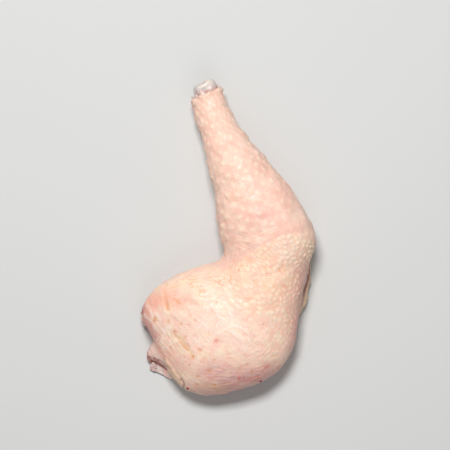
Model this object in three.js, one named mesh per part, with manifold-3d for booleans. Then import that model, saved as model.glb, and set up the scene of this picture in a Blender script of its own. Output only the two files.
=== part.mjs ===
// A raw chicken leg quarter, lying with its skin side up: thigh, drumstick and the strip of back that
// stays on the thigh where the leg was cut from the bird. Millimetres, +Z up. X and Y lie on the worktop,
// with +Y from the thigh towards the drumstick's end, and the origin is on the flat underside of the thigh.
//
// The meat is grown as one soft body: each muscle is an ellipsoid or a tapered rod, a smooth minimum melts
// them together, and a net of quads is then stretched over the surface where that field is zero.
import * as THREE from "three";
import Module from "manifold-3d";
import { mergeVertices } from "three/addons/utils/BufferGeometryUtils.js";

const wasm = await Module();
wasm.setup();

// Driving dimensions: the muscles, each with its middle, its half sizes and its turn about +Z in degrees
const CALF = { at: [16.3, 63.1, 19.0], half: [32.1, 21.8, 19.8], turn: 116 };
const CALF_REAR = { at: [4.3, 56.8, 17.3], half: [26.6, 14.6, 16.0], turn: 98 };
const KNEE_TOP = { at: [27.5, 45.8, 18.4], half: [19.1, 16.4, 17.6], turn: 0 };
const THIGH = { at: [-1.3, -5.2, 15.0], half: [38.3, 37.4, 21.4], turn: 19 };
const THIGH_FRONT = { at: [19.6, 30.2, 16.5], half: [23.4, 27.9, 19.6], turn: -11 };
const THIGH_REAR = { at: [-28.1, 8.5, 13.1], half: [28.9, 18.4, 15.5], turn: 20 };
const RUMP = { at: [-18.1, -24.5, 11.7], half: [21.1, 21.9, 15.0], turn: -7 };
const OYSTER = { at: [-34.9, -5.5, 11.3], half: [14.6, 21.0, 12.2], turn: -8 };

// The lower drumstick, a rod that thins towards the hock, where the leg was cut off at the joint
const SHANK = { from: [-0.4, 91.7, 17.8], to: [-14.0, 122.0, 11.9], wide: 16.4, thin: 8.9 };
const ANKLE = { from: [-14.0, 122.0, 11.9], to: [-18.6, 137.0, 11.6], wide: 8.8, thin: 9.6 };
const HOCK_CUT = { at: [-17.7, 135.0], lean: 22.5 };

// Soft parts that stand out beside the muscles
const BACK_STRIP = { from: [-45.8, -23.4, 4.2], to: [-26.6, -39.4, 3.2], wide: 8.3, thin: 7.9 };
const BACK_CUT = { at: [-53.6, -31.9], lean: 30, tilt: 48, flesh: { behind: 5.4, tilt: 14 } };
const FLANK_RIM = { at: [-50.3, 0.8, 4.6], half: [7.8, 8.6, 4.9], turn: 4 };
const FAT_SKIRT = { at: [35.2, 19.5, 4.3], half: [9.6, 25.0, 6.2], turn: -10 };

// How softly each group melts into the next
const BLEND = { muscle: 13, knee: 6.5, ankle: 7.5, strip: 5.5, rim: 5 };

// The worktop presses the underside flat: the body is rounded onto a plane just below it, then cut at it
const FLOOR = { below: 0.5, roll: 4.7 };

// The fold at the knee, where the drumstick's thin skin slips under the thigh's fat skin
const KNEE_CREASE = {
  path: [[-7.5, 36.6], [5.6, 39.8], [18.8, 46.4], [32.8, 52.5]],
  deep: 0.9,
  wide: 3.0,
  above: 11,
};
const KNEE_RIDGE = {
  path: [[-3.8, 32.8], [7.5, 34.7], [20.6, 40.8], [34.7, 46.9]],
  deep: -0.9,
  wide: 3.8,
  above: 11,
};

// The drumstick's bone: its knuckle shows at the hock and it runs through the meat up to the knee
const SHIN_BONE = { knee: [25.8, 51.1, 18.0], hock: [-20.6, 142.0, 11.4], sides: 16, clearance: 0.3 };
const SHIN_STATIONS = [
  { along: 0.0, across: 5.2, tall: 4.7 },
  { along: 0.03, across: 7.7, tall: 6.9 },
  { along: 0.09, across: 8.1, tall: 7.1 },
  { along: 0.2, across: 4.9, tall: 4.5 },
  { along: 0.4, across: 3.7, tall: 3.5 },
  { along: 0.7, across: 3.6, tall: 3.3 },
  { along: 0.84, across: 4.3, tall: 3.8 },
  { along: 0.9, across: 6.2, tall: 4.9 },
  { along: 0.94, across: 7.5, tall: 6.2 },
  { along: 0.975, across: 7.3, tall: 6.3 },
  { along: 0.995, across: 5.3, tall: 4.7 },
];
const KNUCKLE_GROOVE = { from: 0.88, deep: 0.22 };

// The plate of hip bone under the rump, sawn through with the back strip
const HIP_BONE = { at: [-40.4, -29.3], long: 19, wide: 15.8, thick: 4.4, low: 1.4, turn: 60, clearance: 0.3 };

// The underside: the skin's inner edge is a groove round the bare meat, and long seams part its muscles
const SKIN_EDGE = {
  groove: 1.0,
  rim: [[-41, 6], [-20, 15], [5, 21], [25, 25], [29, 6], [18, -19], [-2, -30], [-17, -24], [-26, -8]],
};
const SEAMS = [
  { at: [-7, -15], long: 34, turn: 34 },
  { at: [12, 9], long: 40, turn: 58 },
  { at: [-20, 5], long: 30, turn: 18 },
  { at: [14, -10], long: 28, turn: 68 },
];
const SEAM_GROOVE = { half: 1.3, deep: 0.9 };

// Mesh size: one quad of the net, and how often the net is evened out
const CELL = 2.9;
const EVENING_ROUNDS = 3;
const REACH = { low: [-62, -51, -4.35], high: [55, 147, 44] };

const radians = THREE.MathUtils.degToRad;

function softMin(a, b, blend) {
  const h = Math.max(blend - Math.abs(a - b), 0) / blend;
  return Math.min(a, b) - (h * h * blend) / 4;
}

const softMax = (a, b, blend) => -softMin(-a, -b, blend);

// About how far a point is outside an ellipsoid
function fromMuscle([x, y, z], { at, half, turn }) {
  const c = Math.cos(radians(turn));
  const s = Math.sin(radians(turn));
  const dx = x - at[0];
  const dy = y - at[1];
  const q = [dx * c + dy * s, dy * c - dx * s, z - at[2]];
  const near = Math.hypot(q[0] / half[0], q[1] / half[1], q[2] / half[2]);
  const slope = Math.hypot(q[0] / half[0] ** 2, q[1] / half[1] ** 2, q[2] / half[2] ** 2);
  return (near * (near - 1)) / Math.max(slope, 1e-6);
}

// How far a point is outside a rod with round ends that changes its radius evenly
function fromRod(p, { from, to, wide, thin }) {
  const axis = to.map((v, i) => v - from[i]);
  const off = p.map((v, i) => v - from[i]);
  const dot = (a, b) => a[0] * b[0] + a[1] * b[1] + a[2] * b[2];
  const t = THREE.MathUtils.clamp(dot(off, axis) / dot(axis, axis), 0, 1);
  return Math.hypot(...off.map((v, i) => v - t * axis[i])) - (wide + (thin - wide) * t);
}

// How far a point is past the back's cut, whose face leans about +Z and tilts up towards the meat. Above
// the sawn bone the flesh stands steeper, some way behind the face's foot
function pastBack([x, y, z]) {
  const { at, lean, tilt, flesh } = BACK_CUT;
  const level = (at[0] - x) * Math.sin(radians(lean)) + (at[1] - y) * Math.cos(radians(lean));
  const sawn = level * Math.cos(radians(tilt)) + z * Math.sin(radians(tilt));
  const torn = (level + flesh.behind) * Math.cos(radians(flesh.tilt)) + z * Math.sin(radians(flesh.tilt));
  return Math.min(sawn, torn);
}

// What a crease (deep above zero) or a ridge (below zero) adds to the field
function fold([x, y, z], { path, deep, wide, above }) {
  let near = Infinity;
  for (let i = 1; i < path.length; i++) {
    const [ax, ay] = path[i - 1];
    const [bx, by] = path[i];
    const l2 = (bx - ax) ** 2 + (by - ay) ** 2;
    const t = THREE.MathUtils.clamp(((x - ax) * (bx - ax) + (y - ay) * (by - ay)) / l2, 0, 1);
    near = Math.min(near, Math.hypot(x - ax - t * (bx - ax), y - ay - t * (by - ay)));
  }
  return deep * Math.exp(-((near / wide) ** 2)) * THREE.MathUtils.smoothstep(z, above, above + 8);
}

function drumstick(p) {
  let d = softMin(fromRod(p, SHANK), fromMuscle(p, CALF), BLEND.muscle);
  d = softMin(d, fromMuscle(p, KNEE_TOP), BLEND.muscle + 2);
  d = softMin(d, fromMuscle(p, CALF_REAR), BLEND.muscle - 2);
  return softMin(d, fromRod(p, ANKLE), BLEND.ankle);
}

function thigh(p) {
  let d = softMin(fromMuscle(p, THIGH), fromMuscle(p, THIGH_FRONT), BLEND.muscle + 4);
  d = softMin(d, fromMuscle(p, THIGH_REAR), BLEND.muscle);
  d = softMin(d, fromMuscle(p, RUMP), BLEND.muscle - 2);
  return softMin(d, fromMuscle(p, OYSTER), BLEND.muscle - 4);
}

function backStrip(p) {
  return softMax(fromRod(p, BACK_STRIP), pastBack(p), 1);
}

function meat(p) {
  let d = softMin(drumstick(p), thigh(p), BLEND.knee);
  d = softMin(d, backStrip(p), BLEND.strip);
  d = softMin(d, fromMuscle(p, FLANK_RIM), BLEND.rim);
  d = softMin(d, fromMuscle(p, FAT_SKIRT), BLEND.rim);
  d += fold(p, KNEE_CREASE) + fold(p, KNEE_RIDGE);
  return softMax(d, -p[2] - FLOOR.below, FLOOR.roll);
}

// The net: one point in each cell that the surface crosses, and one quad over each grid edge that crosses it
function netOver(field, { low, high }, cell) {
  const n = low.map((v, i) => Math.ceil((high[i] - v) / cell) + 1);
  const at = (i, j, k) => (k * n[1] + j) * n[0] + i;
  const place = (i, j, k) => [low[0] + i * cell, low[1] + j * cell, low[2] + k * cell];
  const value = new Float64Array(n[0] * n[1] * n[2]);
  for (let k = 0; k < n[2]; k++)
    for (let j = 0; j < n[1]; j++) for (let i = 0; i < n[0]; i++) value[at(i, j, k)] = field(place(i, j, k));

  const points = [];
  const pointOf = new Map();
  for (let k = 0; k < n[2] - 1; k++)
    for (let j = 0; j < n[1] - 1; j++)
      for (let i = 0; i < n[0] - 1; i++) {
        const values = CORNERS.map((c) => value[at(i + c[0], j + c[1], k + c[2])]);
        for (const sheet of sheetsIn(values)) {
          const crossings = sheet.map(([a, b]) => {
            const t = values[a] / (values[a] - values[b]);
            return CORNERS[a].map((v, axis) => v + (CORNERS[b][axis] - v) * t);
          });
          const total = [0, 0, 0];
          for (const q of crossings) {
            for (let axis = 0; axis < 3; axis++) total[axis] += q[axis];
          }
          const mean = total.map((sum) => sum / crossings.length);
          for (const [a, b] of sheet) pointOf.set(at(i, j, k) * 64 + a * 8 + b, points.length);
          points.push(onSurface(field, place(i + mean[0], j + mean[1], k + mean[2]), cell));
        }
      }

  const faces = [];
  for (let k = 1; k < n[2] - 1; k++)
    for (let j = 1; j < n[1] - 1; j++)
      for (let i = 1; i < n[0] - 1; i++)
        for (let axis = 0; axis < 3; axis++) {
          const step = CORNERS[1 << axis];
          const here = value[at(i, j, k)] < 0;
          if (here === value[at(i + step[0], j + step[1], k + step[2])] < 0) continue;
          const u = 1 << ((axis + 1) % 3);
          const v = 1 << ((axis + 2) % 3);
          const round = [0, u, u + v, v].map((back) => {
            const [bi, bj, bk] = CORNERS[back];
            return pointOf.get(at(i - bi, j - bj, k - bk) * 64 + back * 8 + back + (1 << axis));
          });
          const [q0, q1, q2, q3] = here ? round : round.reverse();
          faces.push(q0, q1, q2, q0, q2, q3);
        }
  return { points, faces };
}

// A cell's corners by number, with one bit for each axis, and its sides as corners in turn
const CORNERS = [0, 1, 2, 3, 4, 5, 6, 7].map((c) => [c & 1, (c >> 1) & 1, c >> 2]);
const SIDES = [0, 1, 2].flatMap((axis) => {
  const [u, v] = [1 << ((axis + 1) % 3), 1 << ((axis + 2) % 3)];
  return [0, 1 << axis].map((far) => [far, far + u, far + u + v, far + v]);
});

// The crossed edges of a cell, sorted into the separate sheets of surface that pass through it
function sheetsIn(values) {
  const inside = values.map((v) => v < 0);
  if (inside.every((v) => v === inside[0])) return [];
  const sheetOf = new Map();
  const edge = (a, b) => Math.min(a, b) * 8 + Math.max(a, b);
  const join = (a, b) => {
    const [from, to] = [sheetOf.get(a) ?? [a], sheetOf.get(b) ?? [b]];
    const all = from === to ? from : [...new Set([...from, ...to])];
    for (const one of all) sheetOf.set(one, all);
  };
  for (const side of SIDES) {
    const crossed = side.flatMap((a, i) => (inside[a] !== inside[side[(i + 1) % 4]] ? [i] : []));
    const edgeAfter = (i) => edge(side[i], side[(i + 1) % 4]);
    if (crossed.length === 2) join(edgeAfter(crossed[0]), edgeAfter(crossed[1]));
    else for (const i of crossed) if (inside[side[i]]) join(edgeAfter(i), edgeAfter((i + 3) % 4));
  }
  return [...new Set(sheetOf.values())].map((edges) => edges.map((key) => [key >> 3, key & 7]));
}

// Evens the net out: each point moves to the middle of its neighbours, then back onto the surface
function evened(field, { points, faces }, cell) {
  let now = points;
  for (let round = 0; round < EVENING_ROUNDS; round++) {
    const sums = now.map(() => new THREE.Vector4(0, 0, 0, 0));
    const link = (a, b) => {
      sums[a].add(new THREE.Vector4(...now[b], 1));
      sums[b].add(new THREE.Vector4(...now[a], 1));
    };
    for (let f = 0; f < faces.length; f += 6) {
      const [a, b, c, d] = [faces[f], faces[f + 1], faces[f + 2], faces[f + 5]];
      link(a, b);
      link(b, c);
      link(c, d);
      link(d, a);
    }
    now = sums.map(({ x, y, z, w }) => onSurface(field, [x / w, y / w, z / w], cell));
  }
  return { points: now, faces };
}

// Slides a point of the net along the field's slope until it lies on the surface
function onSurface(field, start, cell) {
  const p = [...start];
  const h = 0.05;
  for (let pass = 0; pass < 4; pass++) {
    const d = field(p);
    const slope = [0, 1, 2].map((axis) => {
      const q = [...p];
      q[axis] += h;
      return (field(q) - d) / h;
    });
    const l2 = Math.max(slope[0] ** 2 + slope[1] ** 2 + slope[2] ** 2, 0.05);
    const step = THREE.MathUtils.clamp(d / l2, -cell / 2, cell / 2);
    for (let axis = 0; axis < 3; axis++) p[axis] -= step * slope[axis];
  }
  return p;
}

function solidOf(geometry) {
  const bare = new THREE.BufferGeometry();
  bare.setAttribute("position", geometry.getAttribute("position").clone());
  if (geometry.index) bare.setIndex(geometry.index.clone());
  const merged = mergeVertices(bare, 1e-4);
  return new wasm.Manifold(
    new wasm.Mesh({
      numProp: 3,
      vertProperties: new Float32Array(merged.getAttribute("position").array),
      triVerts: new Uint32Array(merged.index.array),
    }),
  );
}

function geometryOf(solid) {
  const mesh = solid.getMesh();
  const geometry = new THREE.BufferGeometry();
  geometry.setAttribute("position", new THREE.BufferAttribute(new Float32Array(mesh.vertProperties), 3));
  geometry.setIndex(new THREE.BufferAttribute(new Uint32Array(mesh.triVerts), 1));
  geometry.computeVertexNormals();
  return geometry;
}

function meatSolid() {
  const { points, faces } = evened(meat, netOver(meat, REACH, CELL), CELL);
  const geometry = new THREE.BufferGeometry();
  geometry.setAttribute("position", new THREE.Float32BufferAttribute(points.flat(), 3));
  geometry.setIndex(faces);
  return solidOf(geometry);
}

// Everything below the worktop, as a slab to cut away
function underWorktop() {
  const slab = new THREE.BoxGeometry(300, 400, 20);
  slab.translate(0, 50, -10);
  return solidOf(slab);
}

// A bone as rings of points from the knee to the hock, grown by some clearance
function shinBone(grow) {
  const from = new THREE.Vector3(...SHIN_BONE.knee);
  const to = new THREE.Vector3(...SHIN_BONE.hock);
  const axis = to.clone().sub(from).normalize();
  const across = new THREE.Vector3(0, 0, 1).cross(axis).normalize();
  const up = axis.clone().cross(across);
  const points = [];
  const faces = [];
  const ringEnds = (centre, along) => centre.clone().addScaledVector(axis, along);
  const n = SHIN_BONE.sides;
  for (const { along, across: a, tall } of SHIN_STATIONS) {
    const centre = from.clone().lerp(to, along);
    const groove = along > KNUCKLE_GROOVE.from ? KNUCKLE_GROOVE.deep : 0;
    for (let i = 0; i < n; i++) {
      const turn = (2 * Math.PI * i) / n;
      const dip = 1 - groove * Math.exp(-((Math.cos(turn) / 0.35) ** 2)) * (Math.sin(turn) > 0 ? 1 : 0.6);
      const p = centre
        .clone()
        .addScaledVector(across, (a + grow) * Math.cos(turn))
        .addScaledVector(up, (tall + grow) * Math.sin(turn) * dip);
      points.push(p.x, p.y, p.z);
    }
  }
  const rings = SHIN_STATIONS.length;
  for (let r = 0; r < rings - 1; r++)
    for (let i = 0; i < n; i++) {
      const a = r * n + i;
      const b = r * n + ((i + 1) % n);
      faces.push(a, b, b + n, a, b + n, a + n);
    }
  const tips = [ringEnds(from, -0.6 - grow), ringEnds(to, 0.6 + grow)];
  for (const tip of tips) points.push(tip.x, tip.y, tip.z);
  for (let i = 0; i < n; i++) {
    const next = (i + 1) % n;
    const last = (rings - 1) * n;
    faces.push(rings * n, next, i, rings * n + 1, last + i, last + next);
  }
  const geometry = new THREE.BufferGeometry();
  geometry.setAttribute("position", new THREE.Float32BufferAttribute(points, 3));
  geometry.setIndex(faces);
  return solidOf(geometry);
}

// The hip bone's plate: a long rounded outline with a waist, with softened edges
function hipBone(grow) {
  const { long, wide, thick, low, turn, at } = HIP_BONE;
  const l = long / 2 + grow;
  const w = wide / 2 + grow;
  const outline = new THREE.Shape();
  outline.moveTo(-l, -w * 0.75);
  outline.bezierCurveTo(-l * 0.4, -w * 0.6, l * 0.2, -w * 1.1, l * 0.8, -w * 0.55);
  outline.bezierCurveTo(l * 1.05, -w * 0.3, l * 1.05, w * 0.3, l * 0.8, w * 0.6);
  outline.bezierCurveTo(l * 0.2, w * 1.15, -l * 0.4, w * 0.7, -l, w);
  outline.closePath();
  const bevel = 1.0;
  const plate = new THREE.ExtrudeGeometry(outline, {
    depth: thick + 2 * grow - 2 * bevel,
    bevelThickness: bevel,
    bevelSize: bevel,
    bevelOffset: -bevel,
    bevelSegments: 2,
    curveSegments: 8,
  });
  plate.translate(0, 0, low - grow + bevel);
  plate.rotateZ(radians(turn));
  plate.translate(at[0], at[1], 0);
  return solidOf(plate);
}

// The space past the back's cut, to saw off the bone there, and the space past the hock
function pastBackCut() {
  const { at, lean, tilt } = BACK_CUT;
  const block = new THREE.BoxGeometry(120, 60, 120);
  block.translate(0, -30, 0);
  block.rotateX(radians(-tilt));
  block.rotateZ(radians(-lean));
  block.translate(at[0], at[1], 0);
  return solidOf(block);
}

function pastHock() {
  const block = new THREE.BoxGeometry(60, 60, 60);
  block.translate(0, 30, 0);
  block.rotateZ(radians(HOCK_CUT.lean));
  block.translate(HOCK_CUT.at[0], HOCK_CUT.at[1], 0);
  return solidOf(block);
}

// A groove that runs round the bare meat of the underside
function skinEdge() {
  const rim = SKIN_EDGE.rim.map(([x, y]) => new THREE.Vector3(x, y, 0));
  const curve = new THREE.CatmullRomCurve3(rim, true, "centripetal");
  return solidOf(new THREE.TubeGeometry(curve, 40, SKIN_EDGE.groove, 6, true));
}

// A long spindle laid half into the underside, which leaves a seam that fades out at both ends
function seam({ at, long, turn }) {
  const spindle = new THREE.SphereGeometry(1, 8, 10);
  spindle.scale(SEAM_GROOVE.half, long / 2, SEAM_GROOVE.deep);
  spindle.rotateZ(radians(turn - 90));
  spindle.translate(at[0], at[1], 0);
  return solidOf(spindle);
}

function named(name, solid, colour, roughness) {
  const material = new THREE.MeshStandardMaterial({ color: colour, roughness, metalness: 0 });
  const mesh = new THREE.Mesh(geometryOf(solid), material);
  mesh.name = name;
  return mesh;
}

let meatBody = meatSolid().subtract(underWorktop()).subtract(pastHock()).subtract(skinEdge());
for (const one of SEAMS) meatBody = meatBody.subtract(seam(one));
meatBody = meatBody.subtract(shinBone(SHIN_BONE.clearance)).subtract(hipBone(HIP_BONE.clearance));

const leg = new THREE.Group();
leg.add(
  named("leg_meat", meatBody, "#f6d3bf", 0.45),
  named("shin_bone", shinBone(0), "#e9e2da", 0.4),
  named("hip_bone", hipBone(0).subtract(pastBackCut()), "#e6cfc6", 0.4),
);

export default leg;
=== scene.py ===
# %% [markdown]
# # A raw chicken leg quarter
#
# This lesson dresses a chicken leg that was modelled as plain solids: the thigh and drumstick as one soft
# body, the shin bone that shows at the hock, and the plate of hip bone that was sawn through with the back.
# The solids are loaded first. They say where everything is, in metres, and nothing here moves them.

# %% Load the solids
import math

import bpy
import numpy as np
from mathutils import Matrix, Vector


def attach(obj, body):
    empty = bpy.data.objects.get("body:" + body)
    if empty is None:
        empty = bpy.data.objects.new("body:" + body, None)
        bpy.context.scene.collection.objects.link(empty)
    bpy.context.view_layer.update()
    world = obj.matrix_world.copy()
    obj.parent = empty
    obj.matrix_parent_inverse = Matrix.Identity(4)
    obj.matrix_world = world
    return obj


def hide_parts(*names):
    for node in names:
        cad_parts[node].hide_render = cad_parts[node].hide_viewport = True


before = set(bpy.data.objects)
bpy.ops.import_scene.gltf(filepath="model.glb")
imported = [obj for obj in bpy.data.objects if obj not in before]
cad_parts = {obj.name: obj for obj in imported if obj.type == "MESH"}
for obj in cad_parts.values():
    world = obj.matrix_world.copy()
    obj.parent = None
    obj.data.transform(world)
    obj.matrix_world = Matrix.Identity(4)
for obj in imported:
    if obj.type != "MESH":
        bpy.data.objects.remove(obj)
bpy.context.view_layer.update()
MM = 0.001


def new_object(name, data):
    made = bpy.data.objects.new(name, data)
    bpy.context.collection.objects.link(made)
    return made

# %% [markdown]
# ## The camera, and reading the photograph in millimetres
#
# The leg is seen from straight above. A long lens at nearly two metres gives the flat look of such a picture.
# One pixel is 0.60 mm at the height where the leg is widest, so the distance follows from the lens. The same
# sum, turned round, tells which pixel looks at each point of the skin. Marks are then placed by where they
# are seen, and still sit on the meat from any other side.

# %% Camera
PICTURE = 450
MIDDLE = PICTURE / 2
MM_PER_PIXEL = 0.60
WIDEST_Z = 18.0
LENS, SENSOR = 240.0, 36.0
CAMERA_RISE = PICTURE * MM_PER_PIXEL / SENSOR * LENS
ORIGIN_PIXEL = (236, 318)
CENTRE = np.array([(MIDDLE - ORIGIN_PIXEL[0]) * MM_PER_PIXEL, (ORIGIN_PIXEL[1] - MIDDLE) * MM_PER_PIXEL])

camera_data = bpy.data.cameras.new("camera")
camera_data.lens = LENS
camera_data.sensor_width = SENSOR
camera_data.clip_start, camera_data.clip_end = 0.01, 10.0
camera = new_object("camera", camera_data)
camera.location = (CENTRE[0] * MM, CENTRE[1] * MM, (WIDEST_Z + CAMERA_RISE) * MM)
bpy.context.scene.camera = camera
print("camera", round(CAMERA_RISE), "mm above the widest part")


def seen_at(points):
    """The photograph's pixel for each point in mm, across and down."""
    grow = CAMERA_RISE / (WIDEST_Z + CAMERA_RISE - points[:, 2]) / MM_PER_PIXEL
    across = MIDDLE + (points[:, 0] - CENTRE[0]) * grow
    down = MIDDLE - (points[:, 1] - CENTRE[1]) * grow
    return across, down


# %% [markdown]
# ## Small tools for shaping skin
#
# Skin relief is mostly three things: soft spots, lines that follow a path, and patterns that repeat unevenly.
# Each gets one short function that works on whole arrays of points at once, so that ninety thousand points
# take a moment. A sum of waves that cross at random gives creases of an even width with no visible repeat.

# %% Spots, lines, ripples and follicles
def clamp(value):
    return np.clip(value, 0, 1)


def cos_sin(degrees):
    return math.cos(math.radians(degrees)), math.sin(math.radians(degrees))


def count(values, limit=0.5):
    return int((values > limit).sum())


def rise(low, high, value):
    """0 up to low, 1 from high on, and smooth between. It falls where low is the larger of the two."""
    t = clamp((value - low) / (high - low))
    return t * t * (3 - 2 * t)


def bell(away, width):
    """1 at no distance, a third at the width and next to nothing at twice the width."""
    return np.exp(-((away / width) ** 2))


def spot(u, v, centre, half, turn=0.0):
    """1 in the middle of a soft oval, 0 well outside it. turn is in degrees."""
    c, s = cos_sin(turn)
    du, dv = u - centre[0], v - centre[1]
    return np.exp(-(((du * c + dv * s) / half[0]) ** 2) - ((dv * c - du * s) / half[1]) ** 2)


def from_path(u, v, path):
    """How far each point is from a path, and on which side. Above zero is to the left of its direction
    where v grows upwards, and to the right where v grows downwards, as it does on a picture."""
    nearest, side = np.full(len(u), 1e9), np.zeros(len(u))
    for (au, av), (bu, bv) in zip(path, path[1:]):
        du, dv = bu - au, bv - av
        t = clamp(((u - au) * du + (v - av) * dv) / (du * du + dv * dv))
        away = np.hypot(u - au - t * du, v - av - t * dv)
        closer = away < nearest
        nearest = np.where(closer, away, nearest)
        side = np.where(closer, np.sign(du * (v - av) - dv * (u - au)), side)
    return nearest, side


def ripples(points, length, seed, along=None, hold=0.0, waves=48):
    """Crossing waves about one length apart. They run along a direction as far as hold says, from 0 to 1."""
    rng = np.random.default_rng(seed)
    ways = rng.normal(size=(waves, 3))
    if along is not None:
        along = np.array(along) / np.linalg.norm(along)
        ways -= hold * np.outer(ways @ along, along)
    ways /= np.linalg.norm(ways, axis=1)[:, None]
    ways *= (2 * math.pi / length * rng.normal(1, 0.18, waves))[:, None]
    return np.cos(points @ ways.T + rng.uniform(0, 2 * math.pi, waves)).sum(1) / math.sqrt(waves / 2)


def dots(u, v, spacing, jitter, seed, squeeze=1.0):
    """Distance to the nearest of many dots on an uneven grid in a plane, and how strong that dot is."""
    rng = np.random.default_rng(seed)
    shift = rng.uniform(-jitter, jitter, (64, 64, 2))
    strength = rng.uniform(0.5, 1.0, (64, 64))
    nearest, own = np.full(len(u), 1e9), np.zeros(len(u))
    column, row = np.floor(u / spacing).astype(int), np.floor(v / spacing).astype(int)
    for i in (-1, 0, 1):
        for j in (-1, 0, 1):
            a, b = (column + i) % 64, (row + j) % 64
            du = u - (column + i + 0.5 + shift[a, b, 0]) * spacing
            dv = (v - (row + j + 0.5 + shift[a, b, 1]) * spacing) * squeeze
            away = np.hypot(du, dv)
            own = np.where(away < nearest, strength[a, b], own)
            nearest = np.minimum(nearest, away)
    return nearest, own


def lumps(points, spacing, seed, along=(1, 0, 0), stretch=1.0, jitter=0.45):
    """Cells round dots scattered in space: 1 in the middle of a cell, 0 in the crease between two."""
    rng = np.random.default_rng(seed)
    shift = rng.uniform(-jitter, jitter, (32, 32, 32, 3))
    along = np.array(along) / np.linalg.norm(along)
    place = (points - np.outer(points @ along, along) * (1 - 1 / stretch)) / spacing
    cell = np.floor(place).astype(int)
    nearest, following = np.full(len(points), 1e9), np.full(len(points), 1e9)
    for step in np.ndindex(3, 3, 3):
        near = cell + np.array(step) - 1
        dot = near + 0.5 + shift[tuple((near % 32).T)]
        away = np.linalg.norm(place - dot, axis=1)
        following = np.minimum(following, np.maximum(nearest, away))
        nearest = np.minimum(nearest, away)
    return rise(0, 0.62, following - nearest)


# %% [markdown]
# ## A fine skin over a coarse solid
#
# The solid has facets of about 3 mm. A voxel remesh lays an even net of small squares over it, and a few
# rounds of smoothing take the facets out. After that every point can be pushed in or out along its normal.
# Squares of 0.72 mm are small enough to carry a feather follicle, which is a bump about 3 mm wide.

# %% Fine copy of a solid
def fine_copy(node, name, square, rounds):
    piece = new_object(name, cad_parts[node].data.copy())
    net = piece.modifiers.new("net", "REMESH")
    net.mode = "VOXEL"
    net.voxel_size = square * MM
    ease = piece.modifiers.new("ease", "SMOOTH")
    ease.factor = 0.5
    ease.iterations = rounds
    graph = bpy.context.evaluated_depsgraph_get()
    fine = bpy.data.meshes.new_from_object(piece.evaluated_get(graph))
    piece.modifiers.clear()
    piece.data = fine
    fine.materials.clear()
    for face in fine.polygons:
        face.use_smooth = True
    print(name, "has", len(fine.vertices), "points and", len(fine.polygons), "squares")
    return piece


def points_of(piece):
    """Its points and their normals, in mm."""
    points, normals = np.empty((2, 3 * len(piece.data.vertices)))
    piece.data.vertices.foreach_get("co", points)
    piece.data.vertex_normals.foreach_get("vector", normals)
    return points.reshape(-1, 3) / MM, normals.reshape(-1, 3)


def put_points(piece, points):
    piece.data.vertices.foreach_set("co", (points * MM).ravel())
    piece.data.update()


def put_mask(piece, name, values):
    """Stores one number per point, which a material can read by its name."""
    layer = piece.data.attributes.new(name, "FLOAT", "POINT")
    layer.data.foreach_set("value", clamp(values).astype(np.float32))


skin = fine_copy("leg_meat", "skin_and_meat", square=0.72, rounds=11)
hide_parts("leg_meat")
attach(skin, "root")

# %% [markdown]
# ## Where each kind of skin is
#
# Skin on the thigh is backed by yellow fat, and the drumstick's is thin over red muscle, so it looks pinker.
# They meet at a fold that runs from the hollow behind the knee to the kneecap. The path below follows it, in
# the photograph's pixels. On the underside the skin ends in an edge, and inside that edge the meat is bare.

# %% Regions
points, normals = points_of(skin)
x, y, z = points.T
facing_up = normals[:, 2]
across, down = seen_at(points)
top = rise(-0.35, 0.25, facing_up)


def seen_spot(centre, half, turn=0.0):
    """A soft oval on the photograph, in its pixels, laid on the skin."""
    return spot(across, down, centre, half, turn)


def seen_path(path):
    """How many pixels each point is from a path on the photograph, and on which side."""
    return from_path(across, down, path)


FOLD = [(212, 268), (226, 263), (240, 260), (255, 251), (268, 243), (282, 236.5), (297, 233.5), (322, 235)]
fold_away, fold_side = seen_path(FOLD)
steep = rise(0.75, 0.25, facing_up)
past_fold = fold_away * fold_side + 8.0 * steep * ripples(points, 18.0, 35)
on_thigh = rise(-2.0 - 7 * steep, 2.0 + 7 * steep, past_fold)
on_drumstick = 1 - on_thigh

KNEE = np.array([25.8, 51.1, 18.0])
HOCK = np.array([-20.6, 142.0, 11.4])
shin = (HOCK - KNEE) / np.linalg.norm(HOCK - KNEE)
sideways = np.cross([0, 0, 1], shin)
sideways /= np.linalg.norm(sideways)
upwards = np.cross(shin, sideways)


def round_the_shin(points):
    """How far along the shin from the knee, the turn round it and the distance from it."""
    off = points - KNEE
    return off @ shin, np.arctan2(off @ sideways, off @ upwards), np.hypot(off @ sideways, off @ upwards)


along_shin, round_shin, from_shin = round_the_shin(points)

SKIN_EDGE = [
    (-41, 6), (-20, 15), (5, 21), (25, 25), (29, 6), (18, -19), (-2, -30), (-17, -24), (-26, -8), (-41, 6),
]
edge_away, edge_side = from_path(x, y, SKIN_EDGE)
wander = 1.6 * ripples(points, 14.0, 51)
facing_down = rise(0.15, 0.5, -facing_up) * (z < 9)
bare = rise(-0.6, 0.6, -edge_away * edge_side + wander) * facing_down
print("bare meat at", count(bare), "of", len(points), "points")

# %% [markdown]
# Two shapes of the solid also bound a kind of surface: the skirt of fat low at the right, and the cut through
# the strip of back. How far a point is from each of them says what it is made of, from every side.

# %% The fat skirt and the back's cut
def outside_oval(points, at, half, turn):
    """About how far each point is outside an ellipsoid that is turned about +Z, in mm."""
    c, s = cos_sin(turn)
    x, y, z = (points - at).T
    q = np.column_stack([x * c + y * s, y * c - x * s, z]) / half
    near = np.linalg.norm(q, axis=1)
    return near * (near - 1) / np.maximum(np.linalg.norm(q / half, axis=1), 1e-6)


def past_plane(points, foot, lean, tilt):
    """How far each point is past a plane through a foot on the worktop. It is turned about +Z by lean."""
    c, s = cos_sin(lean)
    level = (foot[0] - points[:, 0]) * s + (foot[1] - points[:, 1]) * c
    c, s = cos_sin(tilt)
    return level * c + points[:, 2] * s


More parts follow.
